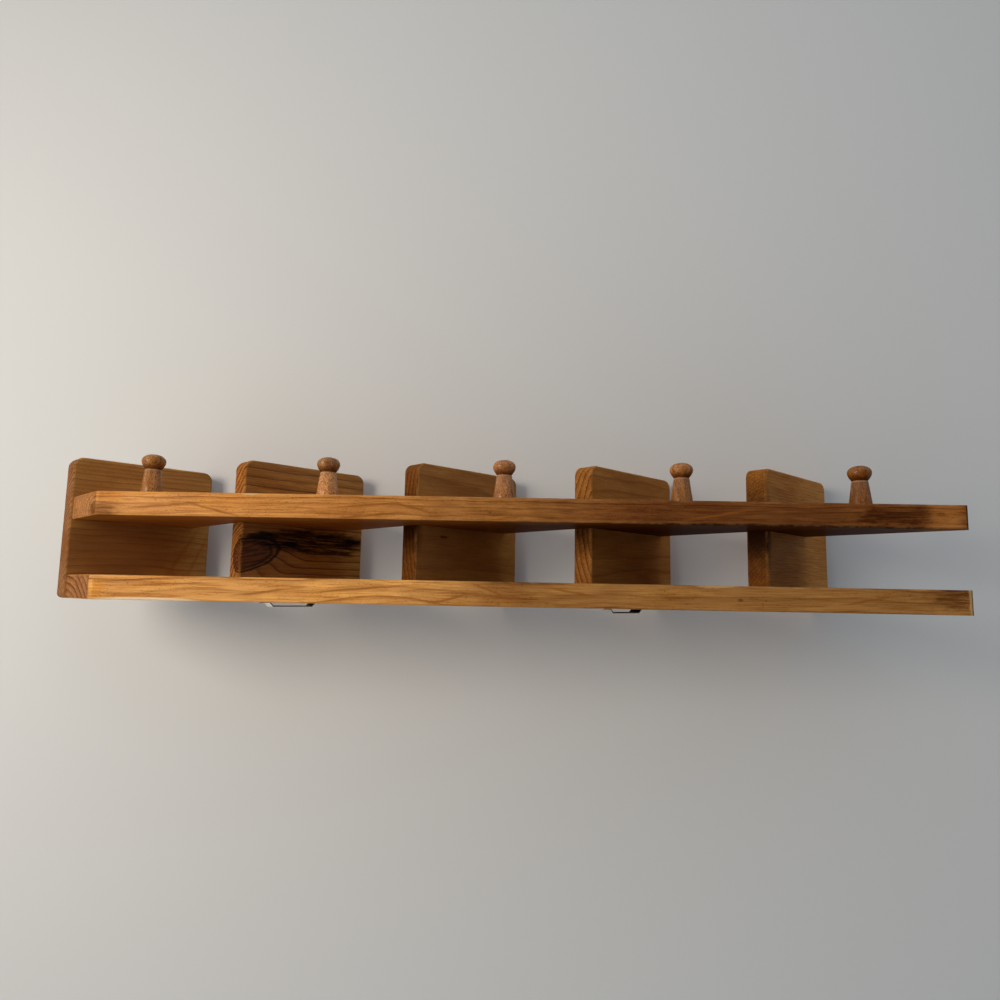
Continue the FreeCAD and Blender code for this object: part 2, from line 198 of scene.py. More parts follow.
class Board:
    """A board's own directions, along its grain, across it and through it, measured from its middle."""

    def __init__(self, node, grain, across, free_sides):
        self.directions = (grain, across, grain.cross(across))
        self.free_sides = free_sides
        self.middle = []
        self.half = []
        for direction in self.directions:
            places = [vertex.co.dot(direction) / MM for vertex in nodes[node].data.vertices]
            self.middle.append((min(places) + max(places)) / 2)
            self.half.append((max(places) - min(places)) / 2)

    def place(self, point):
        """A point of the row, in millimetres, in the board's own directions."""
        return [Vector(point).dot(direction) - middle
                for direction, middle in zip(self.directions, self.middle)]

    def spot(self, here):
        """The shaded point in the board's own directions, as three strands."""
        return [here.along(direction) - middle for direction, middle in zip(self.directions, self.middle)]

    def edge_gap(self, here, spot):
        """Distance to the nearest edge between two of the board's free sides."""
        gaps = [self.half[side] - spot[side].size() for side in self.free_sides]
        most = here.maths("MAXIMUM", gaps[0], gaps[1])
        if len(gaps) == 2:
            return most
        least = here.maths("MINIMUM", gaps[0], gaps[1])
        return here.maths("MAXIMUM", least, here.maths("MINIMUM", most, gaps[2]))


class Patch:
    """A soft patch of stain, dirt, bare wood, painted shade or painted highlight round a point of the row,
    with radii along, across and through the board. Its tint is laid on the wood, or with the blend MIX
    covers it, and may break up in streaks along the grain."""

    def __init__(self, centre, radii, tint, strength=1.0, core=0.4, ragged=0.5, blend="MULTIPLY",
                 streaks=0.0):
        self.centre = centre
        self.radii = radii
        self.tint = tint
        self.strength = strength
        self.core = core
        self.ragged = ragged
        self.blend = blend
        self.streaks = streaks

    def paint(self, wood, here, board, spot, blot):
        x, y, z = [(value - start) * (1 / radius)
                   for value, start, radius in zip(spot, board.place(self.centre), self.radii)]
        spread = here.maths("SQRT", x * x + y * y + z * z) + (blot - 0.5) * (2 * self.ragged)
        mask = spread.between(1.0, self.core) * self.strength
        if self.streaks:
            thread = here.speckle(spot, STREAKS, detail=4.0, roughness=0.7).between(0.4, 0.56)
            mask = mask * (1 - self.streaks + self.streaks * thread)
        return mask.mix(wood, colour(self.tint), self.blend)


class LateLine:
    """A thin dark line of late wood along the board from one point of the row to another. It leans towards
    the board's second direction on a face, or towards its third on an edge."""

    def __init__(self, start, end, width=1.5, strength=0.75, lean=2):
        self.start = start
        self.end = end
        self.width = width
        self.strength = strength
        self.lean = lean

    def paint(self, wood, here, board, spot, blot):
        first, last = board.place(self.start), board.place(self.end)
        share = (spot[0] - first[0]) * (1 / (last[0] - first[0]))
        rise = last[self.lean] - first[self.lean]
        off = spot[self.lean] - first[self.lean] - share * rise + (blot - 0.5) * LINE_WANDER
        mask = off.size().between(self.width, 0.0) * share.between(-0.1, 0.3) * share.between(1.1, 0.6)
        return (mask * self.strength).mix(wood, colour(DARK_RING))


def varnished_pine(name, board, heart, ring, sway, seed, contrast, pale=PALE_PINE, dark=DARK_RING,
                   cut_tint=CUT_SHADE, cut_lines=0.5, fibres=1.0, wear=0.6, knot=None, marks=()):
    """Stained and varnished pine. The growth rings run round the heart of the tree, which lies at a distance
    across and through the board from its middle, so faces and end cuts show one and the same wood."""
    material, shader, here = new_finish(name)
    spot = board.spot(here)

    # The fibres wander across and through the board, and rings of uneven width follow them.
    bend = here.speckle(spot, WANDER, (seed, 0, 0))
    drift = here.speckle(spot, WANDER, (-seed, 7, 0))
    ripple = here.speckle(spot, RIPPLE, (0, seed, 0)) - 0.5
    u = spot[1] + (bend - 0.5) * (2 * sway) - heart[0]
    v = spot[2] + (drift - 0.5) * (2 * sway) - heart[1]
    distance = here.maths("SQRT", u * u + v * v) + ripple * RIPPLE_DEPTH
    if knot:
        distance = distance + knot.swell(here, board, spot)
    uneven = here.speckle((distance, 0.0, 0.0), RING_UNEVENNESS, (seed, 0, 0), 1.0)
    count = distance * (1 / ring) + uneven * RING_SHIFT
    step = here.maths("FRACT", count)
    strength = here.node("ShaderNodeTexWhiteNoise", {"noise_dimensions": "1D"},
                         {"W": here.maths("FLOOR", count) + seed}, "Value")
    sharp = step.between(*RING_END)
    shade = step.between(*RING_SHADE) * sharp
    line = step.between(*LATE_WOOD) * sharp * (0.25 + 0.75 * strength)

    # Fine fibres and short dark pores, drawn out along the grain, and clouds of darker and more golden stain.
    fibre = here.speckle(spot, FIBRES, (0, seed, 0), 4.0, 0.7)
    cloud = here.speckle(spot, STAIN_CLOUDS, (seed, 0, 0), 3.0, 0.6)
    gold = here.speckle(spot, GOLD_CLOUDS, (-seed, 0, 0), 3.0, 0.6)
    pore = here.speckle(spot, PORES, (seed, 0, 0), 2.0, 0.6).between(0.6, 0.68) * cloud.between(0.3, 0.55)
    blot = here.speckle(spot, BLOTS, (0, 0, seed), 4.0, 0.65)
    wood = ((shade * 0.3 + line * 0.7) * contrast).mix(colour(pale), colour(dark))
    wood = (fibre.between(0.44, 0.66) * fibres).mix(wood, colour(FIBRE_SHADE), "MULTIPLY")
    wood = cloud.between(0.42, 0.72).mix(wood, colour(STAIN_SHADE), "MULTIPLY")
    wood = gold.between(0.45, 0.68).mix(wood, colour(GOLD_TINT), "MULTIPLY")
    wood = (pore * 0.7).mix(wood, colour(PORE_SHADE), "MULTIPLY")

    # End cuts drink more stain and show the open ends of the fibres.
    normal = here.node("ShaderNodeNewGeometry", {}, {}, "Normal")
    cut = normal.towards(board.directions[0]).size().between(0.35, 0.69)
    open_end = here.speckle(spot, OPEN_FIBRES, (0, 0, seed), 3.0, 0.6)
    wood = cut.mix(wood, colour(cut_tint), "MULTIPLY")
    wood = (cut * (shade * 0.5 + line * 0.5) * cut_lines).mix(wood, colour(CUT_RING_SHADE), "MULTIPLY")
    wood = (cut * open_end.between(0.48, 0.6)).mix(wood, colour(OPEN_FIBRE_SHADE), "MULTIPLY")

    if knot:
        wood = knot.paint(wood, here, board, spot, blot)
    for mark in marks:
        wood = mark.paint(wood, here, board, spot, blot)

    # Edges rubbed thin by hands, with small chips down to the raw wood.
    gap = board.edge_gap(here, spot)
    nick = here.speckle(spot, NICKS, (seed, 0, 0), 4.0, 0.65)
    rubbed = gap.between(*RUBBED_BAND) * nick.between(0.4, 0.65) * wear
    ragged_gap = gap + (nick - 0.5) * CHIP_RAGGEDNESS
    chip = ragged_gap.between(*CHIPPED_BAND) * nick.between(0.64, 0.68) * wear
    wood = (rubbed * 0.35).mix(wood, colour(RUBBED_PINE))
    wood = (chip * 0.8).mix(wood, colour(RAW_PINE))

    height = line * 0.4 + fibre * 0.6 - pore * 0.6 - chip * 2.0
    bump = here.node("ShaderNodeBump", {}, {"Strength": 0.45, "Distance": GRAIN_DEPTH * MM, "Height": height})
    join(shader, Base_Color=wood, Normal=bump, Coat_Weight=VARNISH - 0.1 * cut - 0.1 * chip)
    shader.inputs["Roughness"].default_value = PINE_ROUGHNESS
    shader.inputs["Specular IOR Level"].default_value = 0.0
    shader.inputs["Coat Roughness"].default_value = VARNISH_ROUGHNESS
    return material


def dress(node, material):
    """Gives a CAD piece its finish."""
    for place in nodes[node].material_slots:
        place.material = material


DIRT = (0.42, 0.33, 0.28)
RED_BROWN = (0.28, 0.22, 0.22)
# Painted deep shade, for the front stringer's lower inner arris and its shadows on the treads' left ends.
PAINTED_DEEP_SHADE = (0.16, 0.13, 0.12)
BURNT = (0.38, 0.29, 0.14)
DEEP_GOLD = (0.84, 0.70, 0.38)
# A painted highlight for the arris at the front stringer's left end.
PAINTED_EDGE_HIGHLIGHT = (1.25, 1.35, 1.5)
# Painted shade for the front stringer's inner face, which faces the back stringer.
PAINTED_INNER_FACE_SHADE = (0.46, 0.39, 0.28)
RUBBED_TIP = (2.2, 2.5, 2.5)
BESIDE_STRINGER = (1, 2)
front_board = Board("front_stringer", DOWN_STAIR, OFF_LOWER_EDGE, BESIDE_STRINGER)
dress("front_stringer", varnished_pine(
    "front_stringer_pine", front_board, heart=(-54, -2), ring=4.4, sway=6.0, seed=3.7, contrast=0.7, wear=0.4,
    cut_tint=(0.62, 0.64, 0.90), cut_lines=0.12,
    marks=[Patch((171, -75, -296), (515, 515, 515), RED_BROWN, core=0.33, ragged=0.2),
           # Painted shade over the whole inner face.
           Patch((-60, -65, -65.5), (600, 250, 0.5), PAINTED_INNER_FACE_SHADE, core=0.6, ragged=0.1),
           # A dark line of painted shade along the lower inner arris.
           Patch((121, -65, -247), (200, 4, 2.2), PAINTED_DEEP_SHADE, ragged=0.3),
           Patch((110, -74, -236), (140, 60, 20), DIRT, strength=0.4, ragged=1.2, streaks=0.9),
           Patch((177, -75, -302.5), (40, 60, 9), DIRT, ragged=1.0, streaks=0.5),
           Patch((203, -75, -329), (19, 60, 40), RUBBED_TIP, ragged=0.5),
           Patch((-258, -70, 132.5), (26, 20, 9), BURNT, core=0.2, ragged=0.8, streaks=0.2),
           Patch((-255, -80, 129.5), (18, 20, 5), DEEP_GOLD, ragged=0.5),
           # Painted highlight along the arris at the left end.
           Patch((-260, -78, 134.6), (1.6, 20, 8), PAINTED_EDGE_HIGHLIGHT, core=0.2, ragged=0.3),
           Patch((-176, -84, 50), (9, 4, 2.5), RAW_PINE, strength=0.85, ragged=0.8, blend="MIX"),
           LateLine((-244, -70.6, 119), (-200, -76.0, 75)), LateLine((-212, -76.5, 86), (-178, -64.5, 52)),
           LateLine((-136, -73.0, 11), (-82, -79.5, -44)), LateLine((-133, -64.5, 7), (-85, -72.0, -41)),
           LateLine((-99, -79.0, -27), (-70, -69.0, -56)), LateLine((-13, -65.5, -113), (34, -79.5, -160)),
           LateLine((-48, -65.0, -78), (-19, -71.5, -106)), LateLine((60, -68.0, -186), (104, -79.0, -230))]))

# The back stringer: a second saw-tooth pine board, against the wall, stained and varnished like the first.
# It is paler in its upper half and has a dirty, rubbed foot. A cream line along its edge beside the wall
# and a pale line along its left end are painted highlights.
LOWER_HALF_DARKENING = (0.52, 0.50, 0.49)
ORANGE_START = (1.02, 0.92, 0.58)
# A painted highlight for the arris at the back stringer's left end.
PAINTED_END_HIGHLIGHT = (1.25, 1.4, 1.7)
BROWN_BAND = (0.74, 0.60, 0.42)
PAINTED_WALL_EDGE_HIGHLIGHT = (0.90, 0.68, 0.42)
back_board = Board("back_stringer", DOWN_STAIR, OFF_LOWER_EDGE, BESIDE_STRINGER)
dress("back_stringer", varnished_pine(
    "back_stringer_pine", back_board, heart=(-18, -25), ring=5.8, sway=6.5, seed=11.2, contrast=0.7, wear=0.5,
    pale=(0.79, 0.37, 0.102), cut_tint=(0.52, 0.48, 0.66), cut_lines=0.7,
    marks=[Patch((171, -9, -296), (400, 400, 400), LOWER_HALF_DARKENING, core=0.66, ragged=0.12),
           Patch((206, -13, -332), (30, 60, 14), DIRT, core=0.2, ragged=1.0, streaks=0.5),
           Patch((214, -10, -340), (2.8, 60, 30), RAW_PINE, strength=0.5, ragged=0.9, blend="MIX"),
           Patch((80, -19, -205), (26, 4, 2), RAW_PINE, strength=0.5, ragged=1.2, blend="MIX"),
           Patch((91, -8.5, -217), (3, 4, 1.6), DIRT, strength=0.8, ragged=0.6),
           Patch((-256, -8, 130.5), (8, 60, 9), ORANGE_START, ragged=0.8, streaks=0.3),
           # Painted highlight along the arris at the left end.
           Patch((-259.6, -9, 134), (2.4, 60, 11), PAINTED_END_HIGHLIGHT, core=0.2, ragged=0.4),
           Patch((-232, -3, 106.5), (42, 8, 2.6), BROWN_BAND, ragged=0.8, streaks=0.5),
           # Painted highlight: a cream line along the lower arris beside the wall.
           Patch((-229, 0, 104), (50, 6, 2.8), PAINTED_WALL_EDGE_HIGHLIGHT, strength=0.9, core=0.6, ragged=0.15, blend="MIX"),
           LateLine((144, -5.4, -270), (179, -15.3, -304)), LateLine((-13, -15.5, -112), (18, -8, -143)),
           LateLine((-55, -18.5, -71), (-32, -6, -94)), LateLine((-76, -1.5, -50), (-53, -9.5, -72)),
           LateLine((-234, -12, 109), (-188, -14, 63)), LateLine((-185, -4.5, 59), (-144, -12, 18)),
           LateLine((-143, -7.5, 18), (-82, -16, -44))]))


# The treads: five square boards sawn from mixed pine, so each has its own figure. The second has a dark
# spike knot at its left end. All their edges are sanded round, and their ends have drunk more stain.
KNOT_STREAKS = (0.05, 0.55, 0.55)
KNOT_SWELL = 9.0
KNOT_BROWN = (0.15, 0.05, 0.016)
KNOT_DARK = (0.045, 0.014, 0.005)
KNOT_RIM = (0.03, 0.010, 0.004)
KNOT_BARK = (0.016, 0.005, 0.002)


class Knot:
    """A knot cut open at a board's face and end: streaked, leaning across the grain, with two dark rims."""

    def __init__(self, centre, radii, lean):
        self.centre = centre
        self.radii = radii
        self.lean = lean

    def spread(self, here, board, spot):
        """Distance from the knot's heart, 1 on its rim."""
        start = board.place(self.centre)
        ahead = spot[0] - start[0]
        x = ahead * (1 / self.radii[0])
        y = (spot[1] - start[1] - ahead * self.lean) * (1 / self.radii[1])
        z = (spot[2] - start[2]) * (1 / self.radii[2])
        return here.maths("SQRT", x * x + y * y + z * z)

    def swell(self, here, board, spot):
        """How far the growth rings bulge round the knot, in millimetres."""
        return self.spread(here, board, spot).between(2.4, 0.7) * KNOT_SWELL

    def paint(self, wood, here, board, spot, blot):
        spread = self.spread(here, board, spot) + (blot - 0.5) * 0.25
        inside = spread.between(1.1, 0.95)
        slant = spot[1] - spot[0] * self.lean
        streak = here.speckle((spot[0], slant, spot[2]), KNOT_STREAKS, detail=3.0, roughness=0.65)
        inner = (spread - 0.9).size().between(0.07, 0.02)
        outer = (spread - 1.1).size().between(0.09, 0.03)
        wood = (inside * 0.85).mix(wood, colour(KNOT_BROWN))
        wood = (inside * streak.between(0.42, 0.6) * 0.8).mix(wood, colour(KNOT_DARK))
        wood = (inner * 0.75).mix(wood, colour(KNOT_RIM))
        return (outer * 0.9).mix(wood, colour(KNOT_BARK))


TREAD_PINE = (0.43, 0.195, 0.05)
TREAD_RING = (0.17, 0.057, 0.012)
ALONG_TREAD = Vector((1, 0, 0))
TO_FRONT = Vector((0, -1, 0))
ALL_ROUND = (0, 1, 2)
RESIN = (0.26, 0.19, 0.16)
PITCH = (0.07, 0.05, 0.05)
# A dark brown that is partly the wood's own and partly painted shade.
DARK_WOOD_AND_SHADE = (0.22, 0.075, 0.016)
spike_knot = Knot((-161, -37, 93), (31, 12.5, 11), 0.23)
knot_marks = [Patch((-92, -52, 93), (74, 13, 14), RESIN, core=0.5, ragged=0.5, streaks=0.55),
              Patch((-92, -51, 93), (78, 12, 14), PITCH, core=0.5, ragged=0.6, streaks=0.95, strength=0.8),
              Patch((-146, -54, 93), (22, 5, 6), PITCH, ragged=0.8, streaks=0.4),
              Patch((-117, -49, 93), (12, 3, 5), PITCH, ragged=0.7),
              Patch((-54, -55, 93), (14, 3, 6), PITCH, ragged=0.8)]
tread_looks = [
    {"heart": (-75, 75), "ring": 3.6, "sway": 6.0, "seed": 21.3, "contrast": 0.6,
     "cut_tint": (0.82, 0.82, 1.35), "cut_lines": 1.0, "fibres": 0.5, "marks": [
         # Between the stringers under this tread: a smooth darker patch, partly the wood's figure, partly
         # painted shade.
         Patch((-222, -42, 195), (80, 32, 20), DARK_WOOD_AND_SHADE, strength=0.55, ragged=0.3, blend="MIX"),
         LateLine((-182, -20, 195), (-154, -66, 195), width=7.0, strength=0.45, lean=1),
         LateLine((-163, -22, 195), (-145, -60, 195), width=7.0, strength=0.45, lean=1)]},
    {"heart": (115, -70), "ring": 5.0, "sway": 3.0, "seed": 35.9, "contrast": 1.0,
     "cut_tint": (1.35, 1.25, 1.25), "cut_lines": 1.0, "knot": spike_knot, "marks": knot_marks},
    {"heart": (5, 150), "ring": 5.5, "sway": 5.0, "seed": 47.1, "contrast": 0.5,
     "cut_tint": (0.54, 0.43, 0.36), "cut_lines": 0.8, "fibres": 0.6, "marks": [
         # Painted shadow of the front stringer on the tread's left end.
         Patch((-59, -66, 0), (10, 40, 30), PAINTED_DEEP_SHADE, strength=0.95, core=0.1, ragged=0.25),
         Patch((-29, -57, -9), (6, 1.6, 3), DIRT, ragged=0.3),
         LateLine((-60, -107, -9), (42, -105, -9), width=1.2, strength=0.6, lean=1)]},
    {"heart": (8, 90), "ring": 5.0, "sway": 6.0, "seed": 58.6, "contrast": 0.5,
     "pale": (0.49, 0.205, 0.047), "cut_tint": (0.96, 0.92, 0.95), "cut_lines": 0.9, "fibres": 0.6, "marks": [
         # Painted shadow of the front stringer on the tread's left end.
         Patch((43, -66, -102), (10, 34, 18), PAINTED_DEEP_SHADE, strength=0.8, core=0.1, ragged=0.25)]},
    {"heart": (-80, 60), "ring": 2.8, "sway": 4.0, "seed": 62.4, "contrast": 0.35,
     "pale": (0.52, 0.215, 0.05), "dark": (0.26, 0.09, 0.02), "cut_tint": (0.62, 0.55, 0.45),
     "cut_lines": 0.3, "marks": [
         # Painted shadow of the front stringer on the tread's left end.
         Patch((145, -66, -204), (10, 46, 40), PAINTED_DEEP_SHADE, strength=0.97, core=0.2, ragged=0.25)]},
]
for number, look in enumerate(tread_looks, start=1):
    node = "tread_%d" % number
    finish = {"pale": TREAD_PINE, "dark": TREAD_RING, **look}
    dress(node, varnished_pine(node + "_pine", Board(node, ALONG_TREAD, TO_FRONT, ALL_ROUND), **finish))

# The pegs: turned from straight-grained hardwood, a tapered shaft under a mushroom head with a fine cut line
# at the neck, glued in blind holes in the front stringer and varnished. Their wood differs a little in tone.
PEG_TAN = (0.48, 0.21, 0.058)
PEG_BROWN = (0.26, 0.098, 0.026)
PEG_FLECK = (0.10, 0.034, 0.010)
# A painted shade for the underside of the head.
PAINTED_UNDER_HEAD_SHADE = (0.36, 0.28, 0.24)
CUT_LINE_PALE = (0.60, 0.34, 0.16)
# Patterns by their fineness per millimetre in the row's directions, of which the second runs along the peg.
FLECKS = (1.5, 0.5, 1.5)
BANDS = (0.22, 0.02, 0.22)
LATHE_MARKS = (0.05, 3.2, 0.05)
LATHE_DEPTH = 0.15
PEG_VARNISH = 0.45
PEG_VARNISH_ROUGHNESS = 0.12
# Places in millimetres below the neck, so less than 0 on the head: the head's end, the painted shade that
# starts on its underside and stops at the neck, and the pale cut line.
HEAD_END = (0.5, -0.5)
SHADE_START = (-5.5, -0.3)
SHADE_STOP = (0.7, 0.1)
CUT_LINE_PLACE = 0.8
CUT_LINE_BAND = (0.9, 0.3)
# Sizes of the turned shape in millimetres, and the steps of its curves.
FOOT_RADIUS = 9.1
FOOT_CHAMFER = 0.4
FOOT_LAND = 1.0
NECK_RADIUS = 6.2
HEAD_HEIGHT = 12.4
CROWN_HEIGHT = 5.8
CROWN_FULLNESS = 0.82
CUT_DEPTH = 0.35
CUT_BELOW = 0.5
CUT_BOTTOM = 0.1
CUT_ABOVE = 0.3
CUT_LIP = 0.1
BOWL_LIP = 0.15
TENON_RADIUS = 4.75
TENON_LENGTH = 13.0
BOWL_STEPS = 10
CROWN_STEPS = 14
AROUND = 96


def tinted(rgb, tint):
    return colour([value * share for value, share in zip(rgb, tint)])


def row_spot(here):
    """The shaded point in the row's own directions, as three strands in millimetres."""
    return [here.along(axis) for axis in ((1, 0, 0), (0, 1, 0), (0, 0, 1))]


def turned_hardwood(name, neck, tone, head_tone):
    """Varnished hardwood with its grain along the peg, the pale ring that the lathe cut at its neck, and
    painted shade under its head.
    """
    material, shader, here = new_finish(name)
    spot = row_spot(here)
    below_neck = spot[1] - neck
    fleck = here.speckle(spot, FLECKS, detail=3.0, roughness=0.7).between(0.47, 0.59)
    band = here.speckle(spot, BANDS, detail=3.0, roughness=0.6).between(0.4, 0.66)
    lathe = here.speckle(spot, LATHE_MARKS)
    ring = (below_neck - CUT_LINE_PLACE).size().between(*CUT_LINE_BAND)
    painted_head_shade = below_neck.between(*SHADE_START) * below_neck.between(*SHADE_STOP)
    head = below_neck.between(*HEAD_END)
    wood = (band * 0.8).mix(tinted(PEG_TAN, tone), tinted(PEG_BROWN, tone))
    wood = head.mix(wood, colour(head_tone), "MULTIPLY")
    wood = (fleck * 0.75).mix(wood, colour(PEG_FLECK))
    # Painted shade on the head's underside, darkest at the neck.
    wood = painted_head_shade.mix(wood, colour(PAINTED_UNDER_HEAD_SHADE), "MULTIPLY")
    wood = (ring * 0.3).mix(wood, colour(CUT_LINE_PALE))
    bump = here.node("ShaderNodeBump", {}, {"Strength": 0.25, "Distance": LATHE_DEPTH * MM,
                                            "Height": lathe * 0.6 - fleck * 0.5})
    join(shader, Base_Color=wood, Normal=bump, Roughness=0.3 + 0.16 * fleck)
    shader.inputs["Specular IOR Level"].default_value = 0.0
    shader.inputs["Coat Weight"].default_value = PEG_VARNISH
    shader.inputs["Coat Roughness"].default_value = PEG_VARNISH_ROUGHNESS
    return material


def peg_section(reach_out, head_radius):
    """Half section of a peg as (radius, height) points over the stringer's face, in millimetres."""
    neck = reach_out - HEAD_HEIGHT
    widest = reach_out - CROWN_HEIGHT
    bowl_radius = NECK_RADIUS + BOWL_LIP
    bowl_start = neck + CUT_ABOVE
    section = [(0.0, -TENON_LENGTH), (TENON_RADIUS, -TENON_LENGTH), (TENON_RADIUS, 0.0),
               (FOOT_RADIUS - FOOT_CHAMFER, 0.0), (FOOT_RADIUS, FOOT_CHAMFER), (FOOT_RADIUS, FOOT_LAND),
               (NECK_RADIUS + CUT_LIP, neck - CUT_BELOW), (NECK_RADIUS - CUT_DEPTH, neck - CUT_BOTTOM),
               (bowl_radius, bowl_start)]
    for step in range(1, BOWL_STEPS + 1):
        turn = step / BOWL_STEPS
        swell = math.sin(turn * math.pi / 2)
        section.append((bowl_radius + (head_radius - bowl_radius) * swell,
                        bowl_start + (widest - bowl_start) * turn))
    for step in range(1, CROWN_STEPS):
        turn = step / CROWN_STEPS * math.pi / 2
        section.append((head_radius * math.cos(turn) ** CROWN_FULLNESS,
                        widest + CROWN_HEIGHT * math.sin(turn)))
    section.append((0.0, reach_out))
    return section


def turned_peg(node):
    """A peg spun from its half section about its own axis."""
    low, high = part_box(node)
    centre = (low + high) / 2
    face = high.y - TENON_LENGTH * MM
    head_radius = (high.x - low.x) / 2 / MM
    section = peg_section((face - low.y) / MM, head_radius)
    shape = bmesh.new()
    ring = [shape.verts.new((centre.x + radius * MM, face - height * MM, centre.z))
            for radius, height in section]
    edges = [shape.edges.new(pair) for pair in zip(ring, ring[1:])]
    bmesh.ops.spin(shape, geom=ring + edges, cent=(centre.x, 0, centre.z), axis=(0, 1, 0), angle=2 * math.pi,
                   steps=AROUND, use_merge=True)
    bmesh.ops.remove_doubles(shape, verts=shape.verts, dist=1e-6)
    bmesh.ops.recalc_face_normals(shape, faces=shape.faces)
    for side in shape.faces:
        side.smooth = True
    mesh = bpy.data.meshes.new("turned_" + node)
    shape.to_mesh(mesh)
    shape.free()
    piece = bpy.data.objects.new("turned_" + node, mesh)
    bpy.context.scene.collection.objects.link(piece)
    return piece


# Each peg's tone, and the tint of its head beside the shaft.
peg_looks = [((0.92, 0.84, 0.66), (1.1, 1.1, 1.0)), ((1.6, 1.6, 1.75), (0.60, 0.60, 0.56)),
             ((1.02, 0.95, 1.05), (1.1, 1.12, 1.1)), ((0.80, 0.70, 0.54), (1.4, 1.42, 1.6)),
             ((0.58, 0.46, 0.26), (1.2, 1.15, 1.0))]
for number, (tone, head_tone) in enumerate(peg_looks, start=1):
    node = "peg_%d" % number
    peg = turned_peg(node)
    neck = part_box(node)[0].y / MM + HEAD_HEIGHT
    peg.data.materials.append(turned_hardwood(node + "_hardwood", neck, tone, head_tone))
    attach(peg, "root")
    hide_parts(node)


# The hangers and nails: stamped strips of zinc-plated steel, each held by two brads through its flat ends,
# and bright drawn finishing nails that hold the treads. The lower hanger's plate is darker and duller.
BLOOM_GREY = (0.30, 0.285, 0.26)
DARK_STEEL_AND_SHADE = (0.07, 0.06, 0.05)
WIRE_STEEL = (0.55, 0.54, 0.52)
BRIGHT_ZINC = (0.90, 0.90, 0.89)
DULL_ZINC = (0.50, 0.50, 0.47)
BRUSH_MARKS = (0.05, 2.0, 4.0)
BLOOM = (0.35, 0.35, 0.35)
BRUSH_DEPTH = 0.1


def plated_steel(name, tint, roughness, dullness, bare=0.0):
    """Brushed plate with a dull bloom. Its sheared edges may be left bare and dark, and its board side gets
    the same dark as painted shade.
    """
    material, shader, here = new_finish(name)
    spot = row_spot(here)
    brush = here.speckle(spot, BRUSH_MARKS, detail=3.0, roughness=0.6)
    bloom = here.speckle(spot, BLOOM, detail=4.0, roughness=0.65).between(0.45, 0.75)
    steel = (bloom * dullness).mix(colour(tint), colour(BLOOM_GREY))
    normal = here.node("ShaderNodeNewGeometry", {}, {}, "Normal")
    sheared = normal.towards((0, 0, 1)).size().between(0.4, 0.7)
    # Painted shade on the side that faces the board, in the gap behind the strip.
    painted_board_side_shade = normal.towards(TO_FRONT).between(0.2, 0.5)
    steel = (here.maths("MAXIMUM", sheared, painted_board_side_shade) * bare).mix(steel, colour(DARK_STEEL_AND_SHADE))
    bump = here.node("ShaderNodeBump", {}, {"Strength": 0.15, "Distance": BRUSH_DEPTH * MM, "Height": brush})
    join(shader, Base_Color=steel, Normal=bump, Roughness=roughness + 0.18 * brush + 0.25 * bloom * dullness)
    shader.inputs["Metallic"].default_value = 1.0
    return material


wire = plated_steel("drawn_wire", WIRE_STEEL, roughness=0.28, dullness=0.8)
for which, zinc, dullness in (("upper", BRIGHT_ZINC, 0.3), ("lower", DULL_ZINC, 0.8)):
    dress("hanger_" + which, plated_steel("zinc_" + which, zinc, roughness=0.2, dullness=dullness, bare=0.95))
    dress("hanger_nails_" + which, wire)
for number in range(1, len(tread_looks) + 1):
    dress("tread_nails_%d" % number, wire)

# The table: the shelf lies on the tips of its treads on a plain pale top, which is seen from its upper side
# only and throws no shadow, so that the shelf shows from behind it too.
TABLE_SIZE = 1.5
TABLE_PALE = (0.70, 0.675, 0.635)
TABLE_ROUGHNESS = 0.7
touch = OFF_LOWER_EDGE.dot(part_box("tread_3")[1])
centre = sum((Vector(corner) for corner in cad_box), Vector()) / 2
table_shape = bmesh.new()
bmesh.ops.create_grid(table_shape, x_segments=1, y_segments=1, size=TABLE_SIZE / 2)
table_turn = Matrix((DOWN_STAIR, TO_FRONT, -OFF_LOWER_EDGE)).transposed().to_4x4()
table_centre = centre + OFF_LOWER_EDGE * (touch - centre.dot(OFF_LOWER_EDGE))
table_place = Matrix.Translation(table_centre) @ table_turn
bmesh.ops.transform(table_shape, matrix=table_place, verts=table_shape.verts)
table_mesh = bpy.data.meshes.new("table")
table_shape.to_mesh(table_mesh)
table_shape.free()
table = bpy.data.objects.new("table", table_mesh)
bpy.context.scene.collection.objects.link(table)
table.visible_shadow = False
table.visible_diffuse = False
paint, paint_shader, here = new_finish("table_paint")
paint_shader.inputs["Base Color"].default_value = colour(TABLE_PALE)
paint_shader.inputs["Roughness"].default_value = TABLE_ROUGHNESS
behind = here.node("ShaderNodeNewGeometry", {}, {}, "Backfacing")
clear = here.node("ShaderNodeBsdfTransparent", {}, {})
painted = Strand(here.tree, paint_shader.outputs["BSDF"])
seen = here.node("ShaderNodeMixShader", {}, {0: behind, 1: painted, 2: clear})
here.tree.links.new(seen.socket, here.tree.nodes["Material Output"].inputs["Surface"])
table_mesh.materials.append(paint)


# The light: a warm lamp and a broad panel to the left of the picture, a weak cool panel at the shelf's front,
# and a pale room that glows most from the sides and least from where the viewer stands.
WARM_LAMP = (1.0, 0.91, 0.78)
WARM_PANEL = (1.0, 0.93, 0.84)
COOL_PANEL = (0.96, 0.97, 1.0)
BACKDROP = (0.56, 0.55, 0.53)
ROOM_TINT = (0.80, 0.92, 1.07)
FAR_GLOW = 0.40
RIM_GLOW = 0.64
VIEWER_SHADE = 0.98
RIGHT_SHADE = 0.4
REAR_SHARE = 0.92
FRONT_GLOW = 0.36


